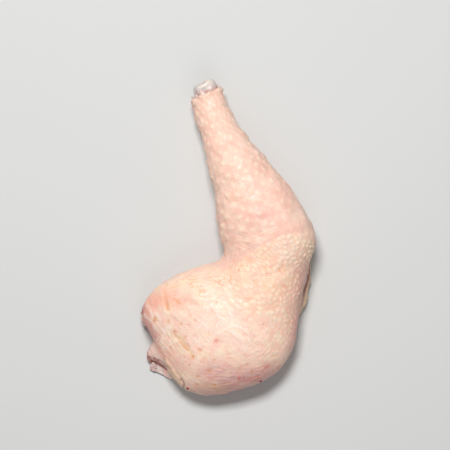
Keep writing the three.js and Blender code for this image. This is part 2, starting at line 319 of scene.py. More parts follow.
SAW_FOOT, SAW_TILT = (-53.6, -31.9), 48
TORN_FOOT, TORN_TILT = (-50.9, -27.2), 14
CUT_LEAN = 30
OUT_OF_CUT = (-0.45, -0.78, 0.43)
SKIRT_AT, SKIRT_HALF, SKIRT_TURN = (35.2, 19.5, 4.3), (9.6, 25.0, 6.2), -10
past_saw = past_plane(points, SAW_FOOT, CUT_LEAN, SAW_TILT)
past_tear = past_plane(points, TORN_FOOT, CUT_LEAN, TORN_TILT)
facing_cut = rise(0.45, 0.7, normals @ OUT_OF_CUT)
lean_cos, lean_sin = cos_sin(CUT_LEAN)
along_cut = (x - SAW_FOOT[0]) * lean_cos - (y - SAW_FOOT[1]) * lean_sin
cut_face = rise(-0.9, -0.25, np.minimum(past_saw, past_tear)) * facing_cut * rise(18.6, 16.4, along_cut)
cut_face *= (x < -20) * (y < -12)
from_skirt = outside_oval(points, SKIRT_AT, SKIRT_HALF, SKIRT_TURN)
print("points on the back's cut", count(cut_face))

# %% [markdown]
# ## Which way the skin's fine lines run
#
# Skin has a lie, as cloth has: on the thigh its fine lines run round the middle and are seen near the rim.
# Each point gets three numbers in mm. The first grows away from the thigh's middle at full size, and the
# other two are its place at a quarter of the size. Ripples made from them are four times as long along the
# lines as across, wherever the skin turns, and there is no seam in them.

# %% The lie of the skin
THIGH_MIDDLE = (232, 288)
off_across, off_down = (across - THIGH_MIDDLE[0]) * MM_PER_PIXEL, (down - THIGH_MIDDLE[1]) * MM_PER_PIXEL
from_middle = np.hypot(off_across, off_down)
lie = np.column_stack([from_middle - z, 0.25 * off_across, 0.25 * off_down])
print("the thigh reaches", round(float(from_middle[on_thigh > 0.5].max())), "mm from its middle")

# %% [markdown]
# ## Relief of the drumstick
#
# Feathers grow in slanting rows. On the plucked drumstick each follicle is a cream bump about 3 mm wide,
# 5 mm from the next. The grid is turned by 45 degrees and wrapped round the shin, so the rows slant as they
# do on the bird. They thin out towards the kneecap. Near the fold the slack skin wrinkles along it. The fold
# itself is only a small step on the real leg, so the solid's groove and ridge are evened out here.

# %% Drumstick follicles
FOLLICLE_SPACING = 5.2
FOLLICLE_RADIUS, FOLLICLE_TINT_RADIUS = 1.45, 1.7
SHIN_RADIUS = 19.0
DRUMSTICK_ROW = 200
FOLLICLES_THIN = (258, 300)
wrap = round_shin * SHIN_RADIUS
turned_u = (along_shin + wrap) * math.sqrt(0.5)
turned_v = (along_shin - wrap) * math.sqrt(0.5)
away, own = dots(turned_u, turned_v, FOLLICLE_SPACING, 0.2, 4, squeeze=1.2)
thinning = 1 - 0.75 * rise(*FOLLICLES_THIN, across + (down - DRUMSTICK_ROW) * 0.35)
follicles_here = own * on_drumstick * thinning * rise(2, 10, fold_away)
height = 0.55 * bell(away, FOLLICLE_RADIUS) * follicles_here
print("follicles stand up to", round(float(height.max()), 2), "mm")

# %% Drumstick slack
height += (0.12 * ripples(points, 12.0, 11) + 0.16 * ripples(points, 7.5, 14)) * on_drumstick
height += 0.06 * ripples(points, 2.3, 13, along=(0.8, -0.5, 0), hold=0.6) * on_drumstick
crinkled = on_drumstick * (1 - rise(8, 30, fold_away))
height += 0.06 * ripples(points, 1.7, 12, along=(1.0, 0.3, 0), hold=0.9) * crinkled

# %% The fold at the knee
GROOVE = [(-7.5, 36.6), (5.6, 39.8), (18.8, 46.4), (32.8, 52.5)]
RIDGE = [(-3.8, 32.8), (7.5, 34.7), (20.6, 40.8), (34.7, 46.9)]
from_groove = from_path(x, y, GROOVE)[0]
from_ridge = from_path(x, y, RIDGE)[0]
evened = 1.0 * bell(from_groove, 3.4) - 0.85 * bell(from_ridge, 3.8)
evened += 0.5 * bell(from_ridge - 7.5, 4.5) * on_thigh
evened *= rise(11, 19, z) * top
height += evened
height += 0.16 * rise(-1.0, 1.0, fold_away * fold_side) * (1 - rise(6, 14, fold_away)) * top
print("the fold is evened out by", round(float(np.abs(evened).max()), 2), "mm at most")

# %% [markdown]
# ## Relief of the thigh
#
# The fat under this skin bunches it into small soft lumps with creases between them. On the side towards the
# kneecap they are beads 3 mm wide. Towards the hollow of the knee they are longer and lie across the thigh.
# At the back end they fade into fine lines. The lumps are cells round dots scattered in space, so they keep
# their size as the skin turns down the sides. Broken lines come from a sum of waves: a line lies wherever
# the sum passes through zero, and a second sum breaks it up.

# %% Thigh lumps
BEADS_BEGIN = (205, 262)
LUMPS_BEGIN, LUMPS_END = (160, 200), (285, 335)
KNEECAP = ((303, 250), (24, 30))
towards_knee = rise(*BEADS_BEGIN, across)
beads = lumps(points, 2.7, 22, along=(1, -0.8, 0), stretch=1.6)
long_lumps = lumps(points, 2.9, 26, along=(1, -0.45, 0.1), stretch=2.3)
patchy = 0.55 + 0.45 * np.clip(ripples(points, 15.0, 33), -1, 1)
lumpy = on_thigh * (1 - 0.9 * rise(*LUMPS_END, down - (across - MIDDLE) * 0.5))
lumpy *= rise(*LUMPS_BEGIN, across)
lumpy *= (1 - bare) * (0.35 + 0.65 * rise(2, 16, z))
kneecap = seen_spot(*KNEECAP)
bead_strength = lumpy * towards_knee * (0.6 + 0.4 * patchy + 0.35 * kneecap)
long_strength = lumpy * (1 - towards_knee) * patchy
height += (0.5 - 0.03 * kneecap) * (beads - 0.5) * bead_strength
height += 0.45 * (long_lumps - 0.5) * long_strength
print("lumpy skin at", count(lumpy, 0.3), "points")


def broken_lines(length, seed, width, along=None, hold=0.0):
    """Thin lines in mm where a sum of waves passes through zero, broken up by a second sum."""
    line = bell(ripples(points, length, seed, along, hold), width)
    return line * clamp(ripples(points, length * 2.2, seed + 1) * 1.5)


# %% Broken lines on the thigh
SQUIGGLED = ((206, 284), (48, 21), 8)
DASHED = ((258, 272), (40, 24), 20)
VEINED = ((208, 322), (52, 36))
FLECKED = ((215, 330), (60, 44))
squiggle = broken_lines(5.0, 61, 0.31, along=(1, -0.45, 0), hold=0.75) * on_thigh * seen_spot(*SQUIGGLED)
dashes = broken_lines(4.2, 65, 0.3, along=(1, -0.9, 0), hold=0.7) * on_thigh * seen_spot(*DASHED)
vein = broken_lines(9.0, 63, 0.13) * on_thigh * seen_spot(*VEINED)
flecks = broken_lines(3.4, 67, 0.22, along=(0.6, -0.8, 0), hold=0.6) * on_thigh * seen_spot(*FLECKED)
flecks *= rise(0.3, 1.0, ripples(points, 6.0, 68))
height += 0.12 * vein - 0.32 * squiggle - 0.12 * dashes - 0.08 * flecks
print("creases at", count(squiggle + dashes, 0.3), "points")

# %% Fine lines and slack on the thigh
LOW_LEFT = ((160, 345), (16, 40), -32)
LOW_EDGE = ((215, 378), (60, 14))
LOW_RIGHT = ((268, 352), (26, 26))
BUCKLED = ((222, 380), (36, 13), 8)
WAVY = ((186, 300), (34, 20))
low_left = np.maximum(seen_spot(*LOW_LEFT), 0.45 * seen_spot(*LOW_EDGE)) * top
hair = ripples(lie, 1.8, 25)
hair_here = clamp(0.5 + 0.5 * ripples(points, 10.0, 27)) * (0.6 + 0.6 * low_left)
hair_here *= rise(16, 36, from_middle) * on_thigh * (1 - bare) * (1 - 0.5 * lumpy)
hair_here *= 1 + 0.7 * seen_spot(*LOW_RIGHT)
height += 0.11 * hair * hair_here
height += 0.05 * ripples(points, 1.8, 29) * on_thigh * (1 - bare) * (1 - lumpy)
height += 0.14 * ripples(points, 7.0, 28) * seen_spot(*BUCKLED) * top
height += 0.10 * ripples(points, 13.0, 24) * on_thigh
height += 0.28 * ripples(points, 8.5, 46, along=(1, -0.45, 0), hold=0.5) * seen_spot(*WAVY) * top
print("fine lines at", count(hair_here, 0.3), "points")

# %% [markdown]
# Down the sides of the thigh the skin hangs a little slack and buckles where it meets the worktop. It has
# scattered pores of the small feathers, as the upper side has. They are dots on an uneven grid that is
# wrapped round the thigh.

# %% Sides of the thigh
THIGH_AXIS, THIGH_RADIUS = (-4.0, 8.0), 40.0
PORE_SPACING, PORE_RADIUS = 6.5, 0.75
sides = rise(0.8, 0.45, facing_up) * rise(-0.5, -0.1, facing_up) * on_thigh
hanging = sides * rise(22, 8, z)
height += 0.3 * ripples(points * (1, 1, 0.5), 11.0, 90) * hanging
height += 0.12 * ripples(points * (1, 1, 0.6), 3.6, 91) * hanging
round_thigh = np.arctan2(y - THIGH_AXIS[1], x - THIGH_AXIS[0]) * THIGH_RADIUS
pore_away, pore_own = dots(round_thigh, z, PORE_SPACING, 0.4, 92)
pore = bell(pore_away, PORE_RADIUS) * rise(0.6, 0.95, pore_own)
pore *= sides * rise(1.5, 4, z)
height -= 0.22 * pore
print("pores at", count(pore, 0.3), "points")

# %% [markdown]
# ## Bare meat and the edge of the skin
#
# Underneath, the skin stops in a rolled edge, and the muscles of the thigh show between it. Their bundles run
# from the hip to the knee. Long ripples along that line make the fibres.

# %% Muscle fibres
TO_KNEE = (0.53, 0.85, 0.0)
fibres = ripples(points, 2.6, 53, along=TO_KNEE, hold=0.96)
height += bare * (0.16 * fibres + 0.3 * ripples(points, 9.0, 54, along=TO_KNEE, hold=0.9) - 0.25)
under_edge = bell(-edge_away * edge_side + wander + 1.6, 1.5) * facing_down
height += 0.35 * under_edge * (z > 0.4)
print("edge of the skin at", count(under_edge), "points")

# %% [markdown]
# ## Marks on the skin
#
# Plucking leaves marks: orange pits where a quill was, a long tear that shows the fat, small bruises and red
# points of blood. They are few and each is different, so each is listed at its pixel. A mark is its
# middle, its half sizes in pixels, its turn in degrees and its strength.

# %% Marks
PITS = [
    ((154.4, 320), (1.5, 3.0), 0, 0.6),
    ((168.3, 321.5), (1.6, 2.6), 0, 0.4),
    ((174.4, 332), (1.8, 2.2), 0, 0.4),
    ((185, 337), (1.5, 1.5), 0, 0.4),
    ((181, 324), (1.3, 1.6), 0, 0.35),
    ((171, 347), (1.2, 1.2), 0, 0.4),
    ((199.6, 350), (2.0, 1.4), 30, 0.5),
    ((192.6, 357), (2.0, 1.3), 45, 0.6),
    ((204, 358), (1.4, 1.0), 0, 0.35),
    ((214.4, 360), (1.3, 1.0), 0, 0.5),
    ((189.4, 365), (1.0, 1.0), 0, 0.5),
    ((184.4, 357), (1.0, 1.0), 0, 0.35),
    ((214, 385), (2.2, 1.4), 10, 0.45),
    ((197.4, 376.7), (1.8, 1.4), 0, 0.4),
    ((197, 385), (1.2, 1.2), 0, 0.4),
    ((247, 365), (1.6, 1.2), 0, 0.4),
    ((209, 371), (2.6, 1.6), 20, 0.4),
    ((239.6, 368.8), (1.3, 1.5), 0, 0.35),
    ((252.5, 371.9), (1.2, 1.1), 0, 0.7),
    ((278, 368.8), (1.3, 1.1), 0, 0.5),
    ((231, 373), (1.4, 1.0), 30, 0.3),
    ((216, 375.6), (1.6, 1.1), 0, 0.35),
]
BRUISES = [
    ((216, 340.6), (2.6, 1.8), 0, 0.25),
    ((188.8, 316), (1.6, 1.3), 0, 0.35),
    ((239, 378.5), (1.7, 2.0), 0, 1.0),
    ((244, 378), (1.2, 1.2), 0, 0.7),
    ((267, 367), (3.4, 2.4), -20, 0.6),
    ((258, 376.9), (1.9, 1.4), -10, 0.7),
    ((263, 372), (1.5, 1.0), 0, 0.6),
    ((273, 371), (1.2, 1.2), 0, 0.5),
    ((210, 378), (3.2, 1.5), 15, 0.45),
    ((195, 320), (1.6, 1.2), 0, 0.35),
    ((230, 366), (2.6, 1.4), 20, 0.35),
    ((250, 380.5), (9, 3.0), -16, 0.42),
    ((234, 384.5), (9, 2.4), -8, 0.3),
]
BLOOD_POINTS = [
    ((263.3, 324.4), (0.8, 0.8), 0, 0.5),
    ((260.6, 381), (1.4, 0.9), -20, 0.9),
    ((187.8, 388.4), (1.1, 0.9), 0, 1.0),
    ((216, 340.4), (1.3, 0.8), 0, 0.3),
]


def marks(places):
    """The strongest mark at each point. A mark near the rim doesn't run down the side below it."""
    total = np.zeros(len(points))
    for centre, half, turn, strength in places:
        seen = (np.hypot(across - centre[0], down - centre[1]) < 1.5) & (facing_up > 0)
        level = z[seen].max() if seen.any() else 0.0
        total = np.maximum(total, strength * seen_spot(centre, half, turn) * bell(z - level, 3.0))
    return total * top


pit = marks(PITS)
bruise = marks(BRUISES)
blood = marks(BLOOD_POINTS)
height -= 0.55 * pit + 0.15 * bruise
print("marked points", count(pit + bruise + blood, 0.2))

# %% [markdown]
# A tear, a nick and a curled scratch are longer than a pit, so each is a path. The tear lies in a shallow
# valley, and the tear and the nick have a raised lip on one side. White threads of tissue show through the
# thin skin in the middle of the thigh, and a fan of fine lines runs out from where they meet.

# %% Tear, nick and threads
TEAR = [(177, 340), (180, 342.5), (184, 347), (188, 350.5)]
TEAR_VALLEY = [(176, 337), (181, 339.5), (186, 345.5), (189.5, 351.5), (193, 357)]
TEAR_BEGINS = (177, 183)
VALLEY_ENDS = (362, 350)
NICK = [(164.2, 289), (165, 296), (166.4, 302), (167.8, 309)]
NICK_DEEPENS = (297, 305)
CURL = [(174, 298.5), (176.5, 301.5), (178.5, 300.5), (178, 303), (180, 303.6)]
THREADS = [
    [(222, 300), (226.5, 305), (229, 310), (231.5, 315), (232.5, 320.5), (231.5, 326.5)],
    [(231.5, 326.5), (226.5, 328.5), (222, 331), (217, 333)],
    [(231.5, 326.5), (236.5, 326), (241, 327.5), (246.5, 329.5)],
    [(231.5, 330.5), (235.5, 332.5), (241, 336), (244.5, 340.5)],
    [(212.5, 303.5), (208, 306.5), (204.5, 308.5)],
    [(194, 338.5), (198, 341.5), (201, 347)],
]
FAN = ((246, 338), (17, 12), 35)
tear_away, tear_side = seen_path(TEAR)
nick_away, nick_side = seen_path(NICK)
curl = bell(seen_path(CURL)[0], 1.1) * top
valley = bell(seen_path(TEAR_VALLEY)[0], 2.6) * rise(*VALLEY_ENDS, down) * top
tear = bell(tear_away, 0.9) * top * rise(*TEAR_BEGINS, across)
tear_lip = bell(tear_away * tear_side - 1.5, 0.65) * (tear_away < 4) * top
nick = bell(nick_away, 1.8) * top * (0.2 + 0.8 * rise(*NICK_DEEPENS, down))
nick_lip = bell(nick_away * nick_side - 3.4, 2.2) * (nick_away < 8) * top
thread = np.max([bell(seen_path(path)[0], 0.9) for path in THREADS], axis=0) * top
fan = ripples(points, 2.0, 94, along=(1, -0.7, 0), hold=0.97) * seen_spot(*FAN) * top
height -= 0.35 * valley + 0.25 * tear + 0.3 * nick + 0.2 * curl
height += 0.22 * tear_lip + 0.25 * nick_lip + 0.13 * thread + 0.17 * fan
print("threads at", count(thread), "points")

# %% [markdown]
# ## The trimmed left edge and the fat under the right edge
#
# At the left the skin was cut short, and dark pink flesh shows in the flank below it. An oval in the side
# view bounds the flesh, and its rim wanders as torn skin does. The skin above it is rosy, with pale fibres
# beside the cut. At the right a strip of fat lies under the thigh. It shows as a paler rim beyond a gap,
# which is painted dark brown as shade, and the distance from the solid's own skirt says where it is.

# %% The trimmed left edge
CUT_EDGE = [(141, 309), (141.5, 315), (144.5, 320), (147.5, 325), (151, 331), (155, 338)]
FLANK_AT, FLANK_HALF = (-3.5, 4.6), (9.5, 5.6)
TISSUE = [(141, 315), (141.5, 321), (144.5, 325)]
FIBRES_BEGIN, FIBRES_END = (300, 308), (362, 345)
ROSY_BEGINS, ROSY_ENDS = (296, 308), (346, 336)
cut_away, cut_side = seen_path(CUT_EDGE)
off_flank = np.hypot((y - FLANK_AT[0]) / FLANK_HALF[0], (z - FLANK_AT[1]) / FLANK_HALF[1])
off_flank += 0.07 * ripples(points, 5.0, 71) + 0.05 * ripples(points, 2.4, 74)
on_flank = (x < -40) * rise(0.3, 1.2, z)
cut_flesh = rise(1.06, 0.94, off_flank) * on_flank
cut_lip = bell(off_flank - 1.13, 0.09) * on_flank
tissue_line = bell(seen_path(TISSUE)[0], 1.3) * cut_flesh
inward = -cut_away * cut_side
beside_cut = np.column_stack([inward * MM_PER_PIXEL, 0.12 * down, np.zeros(len(points))])
flow = np.clip(ripples(beside_cut, 1.7, 73), -1, 1) * rise(0, 3, inward) * rise(22, 8, inward) * top
flow *= rise(*FIBRES_BEGIN, down) * rise(*FIBRES_END, down) * (across < 190)
rosy_edge = rise(9, 0, inward) * rise(*ROSY_BEGINS, down) * rise(*ROSY_ENDS, down) * (across < 175)
height += 0.3 * cut_lip + 0.12 * flow - (0.35 - 0.25 * ripples(points, 2.6, 72)) * cut_flesh
print("cut flesh at", count(cut_flesh), "points")

# %% The fat under the right edge
GAP = [(312.5, 258), (310, 272), (306.5, 286), (303, 298), (299.5, 311)]
GAP_BEGINS, GAP_ENDS = (252, 272), (316, 286)
gap_away, gap_side = seen_path(GAP)
# The gap is a groove, and its dark brown colour is painted shade in it.
gap_and_painted_shade = bell(gap_away, 1.5) * rise(*GAP_BEGINS, down) * rise(*GAP_ENDS, down) * top
gap_and_painted_shade *= rise(5.0, 2.5, from_skirt)
rim_fat = rise(2.0, 0.7, from_skirt + 0.3 * ripples(points, 6.0, 75))
rim_fat *= rise(0.5, 2.0, gap_away * (gap_side < 0) + 4 * (1 - top))
height -= 0.8 * gap_and_painted_shade
print("fat under the edge at", count(rim_fat), "points")

# %% [markdown]
# ## The strip of back
#
# A strip of the back stays on the thigh where the leg was cut from the bird. Its skin is pale and smooth. A
# fold of fat swells between it and the thigh, lobed like all soft fat, with a short crack beside it, painted
# dark brown as shade. The hollow between the strip and the thigh is painted a darker pink, also as shade. On
# the sawn side the skin comes down nearly to the bone, and only a thin line of red flesh shows between them.

# %% Back strip
THIGH_BORDER = [(153, 338), (156, 349), (161.5, 357), (168, 366), (176, 376), (184, 387), (189, 396)]
LOBE_RIM = [(149, 344), (146, 351), (146.5, 357), (149, 363), (153, 367)]
HOLLOW = [(156, 342), (160, 350), (163, 358)]
CRACK = [(180.5, 378.5), (183, 381.5), (184, 385), (183.6, 389)]
STRIP_BEGINS, STRIP_RIM_BEGINS = (340, 345), (345, 350)
border_away, border_side = seen_path(THIGH_BORDER)
lobe = rise(-0.8, 1.2, border_away * border_side) * rise(*STRIP_BEGINS, down)
lobe *= (x < -28) * (y < -12)
lobe_rim = rise(3.6, 1.0, seen_path(LOBE_RIM)[0] + 0.5 * ripples(points, 3.0, 71))
lobe_rim *= rise(*STRIP_RIM_BEGINS, down) * lobe
# A darker pink down the hollow between the strip and the thigh is painted shade.
lobe_hollow_shade = bell(seen_path(HOLLOW)[0], 2.6)
# The crack is a groove, and it is painted dark brown below as shade in it.
crack = bell(seen_path(CRACK)[0], 0.8) * (x < -28) * rise(8, 13, z)
height -= 0.6 * crack + 0.1 * lobe_rim
print("back strip points", count(lobe))

# %% Fold of fat
FAT_FOLD = [(166.5, 358), (168.5, 364), (171, 370), (174.5, 377), (178, 383), (181, 389), (183, 394)]
FAT_ROWS, FAT_HALF_WIDTHS = (356, 362, 370, 378, 386, 394), (0.7, 1.9, 3.4, 4.4, 4.6, 4.0)
FAT_BEGINS = (356, 360)
fat_away, fat_side = seen_path(FAT_FOLD)
off_fat = fat_away / np.interp(down, FAT_ROWS, FAT_HALF_WIDTHS)
off_fat += 0.14 * ripples(points, 4.5, 79) * rise(12, 6, z)
fat_fold = rise(1.15, 0.75, off_fat) * rise(*FAT_BEGINS, down) * (x < -26)
fat_fold *= rise(2.0, 9.0, z + 1.5 * ripples(points, 8.0, 79))
fat_swell = np.sqrt(clamp(1 - off_fat**2)) * fat_fold
fat_grain = ripples(np.column_stack([off_fat * 3.0, 0.12 * down, 0.12 * z]), 1.6, 76)
fat_lobes = lumps(points, 2.4, 88, along=(0.4, -0.6, -0.7), stretch=1.7)
height += fat_swell * (1.2 + 0.14 * fat_grain) + 0.5 * (fat_lobes - 0.6) * fat_fold
print("fold of fat at", count(fat_fold), "points")

# %% Raw flesh over the sawn bone
cut_face *= fat_side > 0
height += (0.22 * ripples(points, 3.2, 77) - 0.4 * (1 - fat_fold)) * cut_face
raw_amount = clamp(0.62 + 0.3 * ripples(points, 4.0, 78) + 0.3 * rise(9, 4, z))
above_bone = z + 0.5 * ripples(points, 5.0, 80)
near_bone = np.maximum(rise(8.6, 6.8, above_bone), rise(5.0, 2.5, along_cut))
raw_face = cut_face * (1 - fat_fold) * raw_amount * (0.12 + 0.88 * near_bone)
print("raw flesh at", count(raw_face, 0.3), "points")

# %% [markdown]
# ## The cut at the hock, and the push
#
# At the hock the skin shrinks back to a ragged collar round the bone, and the cut meat inside it lies a
# little lower. Then every point moves along its normal by the height that all these steps have added up. A
# point that rests on the worktop stays there.

# %% Collar, stump and push
past_hock = along_shin - (along_shin.max() - 2.5)
collar = bell(past_hock, 2.2) * rise(6.5, 9.0, from_shin)
ragged = ripples(points, 3.2, 57) + 0.6 * ripples(points, 1.8, 58)
stump = rise(0.75, 0.9, normals @ shin) * rise(115, 125, y)
height += collar * (0.6 + 0.35 * ragged) * (1 - stump) - stump * (0.5 + 0.25 * ragged)
height *= rise(0.0, 0.5, z)
pushed = points + normals * height[:, None]
pushed[:, 2] = np.maximum(pushed[:, 2], np.minimum(z, 0.0))
put_points(skin, pushed)
print("relief from", round(float(height.min()), 2), "to", round(float(height.max()), 2), "mm")

# %% [markdown]
# ## Materials
#
# A material is a small network of nodes. One function adds a node, sets its values and joins its inputs, and
# one turns a hex colour from the eye's scale to the light's. A node that mixes colours takes them at its
# inputs 6 and 7, by the amount at input 0, and gives the result at output 2.

# %% Node helper and colours
def linear(code):
    channels = [int(code[i : i + 2], 16) / 255 for i in (1, 3, 5)]
    return (*[c / 12.92 if c <= 0.04045 else ((c + 0.055) / 1.055) ** 2.4 for c in channels], 1.0)


def add_node(tree, kind, inputs=None, **settings):
    """Adds a node. inputs maps a socket's name or number to a value, or to the output that feeds it."""
    node = tree.nodes.new(kind)
    for key, value in settings.items():
        setattr(node, key, value)
    for key, value in (inputs or {}).items():
        if isinstance(value, bpy.types.NodeSocket):
            tree.links.new(value, node.inputs[key])
        else:
            node.inputs[key].default_value = value
    return node


def new_material(name):
    material = bpy.data.materials.new(name)
    material.use_nodes = True
    material.node_tree.nodes.clear()
    return material, material.node_tree


# %% [markdown]
# ### Raw tissue
#
# Skin, meat, fat, tendon and cartilage are all wet and cloudy. Light goes a little way in and comes back
# warm, which subsurface scattering gives, and wet tissue has an index of refraction of about 1.38. What
# differs is the pair of colours that mottle them, the size of the mottles and of the grain, how rough the wet
# surface is and how far light goes in. Layers of colour are laid over that through masks.

# %% Raw tissue
def tissue(name, light, dark, patch, grain, rough, depth, relief, layers=(), valley=None):
    """patch, grain, depth and relief are in mm. layers are masks, each with its colour and strength, and
    valley is a colour for the low places in the grain, laid on as painted shade."""
    material, tree = new_material(name)
    where = add_node(tree, "ShaderNodeTexCoord").outputs["Object"]
    inputs = {"Vector": where, "Scale": 1 / MM}
    millimetres = add_node(tree, "ShaderNodeVectorMath", inputs, operation="SCALE").outputs[0]
    inputs = {"Vector": millimetres, "Scale": 1 / patch, "Detail": 3.0}
    patches = add_node(tree, "ShaderNodeTexNoise", inputs).outputs["Fac"]
    inputs = {"Vector": millimetres, "Scale": 1 / grain, "Detail": 4.0, "Roughness": 0.6}
    grains = add_node(tree, "ShaderNodeTexNoise", inputs).outputs["Fac"]
    inputs = {0: grains, 1: 0.6, 2: patches}
    both = add_node(tree, "ShaderNodeMath", inputs, operation="MULTIPLY_ADD").outputs[0]
    inputs = {"Value": both, "From Min": 0.6, "From Max": 1.0}
    amount = add_node(tree, "ShaderNodeMapRange", inputs).outputs[0]
    inputs = {0: amount, 6: linear(light), 7: linear(dark)}
    colour = add_node(tree, "ShaderNodeMix", inputs, data_type="RGBA").outputs[2]
    for mask, code, strength in layers:
        layer = add_node(tree, "ShaderNodeAttribute", attribute_name=mask).outputs["Fac"]
        inputs = {0: layer, 1: strength}
        part = add_node(tree, "ShaderNodeMath", inputs, operation="MULTIPLY").outputs[0]
        inputs = {0: part, 6: colour, 7: linear(code)}
        colour = add_node(tree, "ShaderNodeMix", inputs, data_type="RGBA").outputs[2]
    # Painted shade: the low places of the grain, where the bump sinks, are darkened by the valley colour.
    if valley:
        inputs = {"Value": grains, "From Min": 0.52, "From Max": 0.36, "To Max": 0.4}
        low = add_node(tree, "ShaderNodeMapRange", inputs).outputs[0]
        inputs = {0: low, 6: colour, 7: linear(valley)}
        mix = add_node(tree, "ShaderNodeMix", inputs, data_type="RGBA", blend_type="MULTIPLY")
        colour = mix.outputs[2]
    inputs = {"Strength": 0.9, "Distance": relief * MM, "Height": grains}
    bump = add_node(tree, "ShaderNodeBump", inputs).outputs["Normal"]
    inputs = {"Value": patches, "To Min": rough - 0.1, "To Max": rough + 0.12}
    wetness = add_node(tree, "ShaderNodeMapRange", inputs).outputs[0]
    inputs = {
        "Base Color": colour,
        "Roughness": wetness,
        "IOR": 1.38,
        "Subsurface Weight": 0.25,
        "Subsurface Radius": (1.0, 0.42, 0.26),
        "Subsurface Scale": depth * MM,
        "Coat Weight": 0.1,
        "Coat Roughness": 0.22,
        "Normal": bump,
    }
    shader = add_node(tree, "ShaderNodeBsdfPrincipled", inputs, subsurface_method="RANDOM_WALK")
    add_node(tree, "ShaderNodeOutputMaterial", {"Surface": shader.outputs[0]})
    print(name, "has", len(tree.nodes), "nodes")
    return material


# %% [markdown]
# ### Raw skin
#
# The skin is pink where it is thin over muscle and cream where fat backs it. Lumps and follicles are paler,
# and pits and bruises orange or red. Creases are orange too, partly their own colour and partly painted
# shade.
# Towards the rim it turns a little purple, as there is less fat, and the same purple paints the shade on the
# far edges, low down and in the hollow behind the knee. A warm paler tint paints the light on the left side
# of the drumstick. It is wet, so bright lights give it a soft broad sheen that breaks on every bump.

# %% Tints of the skin
# Pink spots: mostly the skin's own flush; the spot by the curl is partly painted shade in a hollow.
FLUSHED_AND_SHADED = [
    ((166, 298), (16, 8), -12, 0.9),
    ((150, 312), (7, 16), 10, 0.5),
    ((182, 302.5), (11, 5.5), -18, 0.6),
    ((168, 358), (22, 10), 50, 0.6),
    ((216, 341), (3.2, 2.4), 0, 0.9),
    ((150, 303), (8, 9), 0, 0.5),
    ((210, 303), (7, 4), 0, 0.4),
    ((266, 219), (12, 12), 0, 0.2),
]
# Purple: partly the thin skin's own colour, partly painted shade by the knee, on the low edges and fold.
LIVID_AND_SHADE = [
    ((226, 267), (13, 6), -12, 0.45),
    ((244, 386), (46, 13), -12, 1.9),
    ((214, 368), (24, 8), 0, 0.6),
    ((294, 335), (8, 18), 0, 0.5),
    ((214, 375), (18, 6), 12, 0.3),
    ((151, 364), (6, 8), 0, 0.5),
    ((260, 217), (17, 13), 0, 1.0),
]
MILKY = [((222, 328), (70, 38), -8, 1.0), ((288, 248), (17, 17), 0, 1.2)]
YELLOWED = [((214, 387), (13, 5), 6, 0.7), ((180, 344), (9, 6), 40, 0.5)]
CREAMY = [((189, 281), (13, 6), -15, 0.6), ((243, 265), (7, 8), 0, 0.5)]
# Bounds of the purple painted shade on the right and bottom rims.
RIM_BEGINS, RIM_DARKENS = (284, 304), (250, 275)
# Bounds of the warm painted light on the drumstick's left side.
WARM_LIGHT_ENDS, WARM_LIGHT_FADES = (262, 226), (275, 262)
MOTTLES_GROW, FAT_THINS = (280, 330), (296, 345)


def tint(places):
    """The sum of soft ovals, each given as a mark is."""
    return sum(strength * seen_spot(centre, half, turn) for centre, half, turn, strength in places)


flush_and_shade = tint(FLUSHED_AND_SHADED) + 0.2 * on_drumstick * clamp(ripples(points, 16.0, 41))
# The hollow by the back strip is made pinker here as painted shade.
flush_and_shade += 0.7 * lobe_hollow_shade + 1.0 * rosy_edge
# Purple at the right and bottom rims and low down: partly thinner skin, partly painted shade.
livid_and_shade = tint(LIVID_AND_SHADE) + 0.9 * rise(*RIM_BEGINS, across) * rise(*RIM_DARKENS, down)
livid_and_shade += 0.4 * rise(12, 3, z) + 1.1 * rosy_edge
# Painted light: a warm paler tint on the drumstick's left side, where its slope turns from the light.
warm_painted_light = on_drumstick * rise(*WARM_LIGHT_ENDS, across - 0.25 * (down - DRUMSTICK_ROW)) * rise(*WARM_LIGHT_FADES, down)
cream = on_thigh * clamp(ripples(points, 14.0, 45) * 0.6 + 0.2) + tint(CREAMY)
mottle = on_thigh * clamp(ripples(points, 7.0, 44) * 0.8 + 0.1)
mottle *= 0.4 + 0.6 * rise(*MOTTLES_GROW, down)
fat = on_thigh * (1 - 0.55 * rise(*FAT_THINS, down - 0.25 * (across - MIDDLE)))
silver = bare * clamp(ripples(points, 11.0, 55, along=TO_KNEE, hold=0.8) * 0.9 - 0.1)
print("tinted spots", len(FLUSHED_AND_SHADED + LIVID_AND_SHADE + MILKY + YELLOWED + CREAMY))

# %% Colour of the relief
# Orange: the skin's own colour in its lines, and painted shade between the beads and in line troughs.
crease_colour_and_shade = squiggle + 0.7 * dashes + 0.6 * flecks + 0.7 * nick
crease_colour_and_shade += (0.4 - 0.25 * kneecap) * clamp(1 - beads * 2) * bead_strength
crease_colour_and_shade += 0.3 * clamp(-hair - 0.4) * hair_here
pale = 0.8 * bell(away, FOLLICLE_TINT_RADIUS) * follicles_here
pale += (0.26 + 0.08 * kneecap) * beads * bead_strength + 0.3 * long_lumps * long_strength
lip = tear_lip + 0.6 * low_left * clamp(hair - 0.3) + 1.1 * vein + tissue_line
lip += 0.9 * clamp(flow) + 1.2 * thread + 0.6 * clamp(fan)
pitted = 1.7 * pit + 0.8 * tear + 0.6 * curl + 0.3 * nick + 0.4 * pore * (1 - cut_face)
flesh = np.maximum.reduce([bare, cut_flesh * (1 - tissue_line), 0.5 * lobe_rim, stump, raw_face])
print("flesh shows at", count(flesh), "points")

# %% [markdown]
# Each layer of colour is a name, a colour, its strength and the mask that says where it lies. The layers are
# laid on in this order, so raw flesh covers the skin's tints, and only silverskin lies over the flesh.

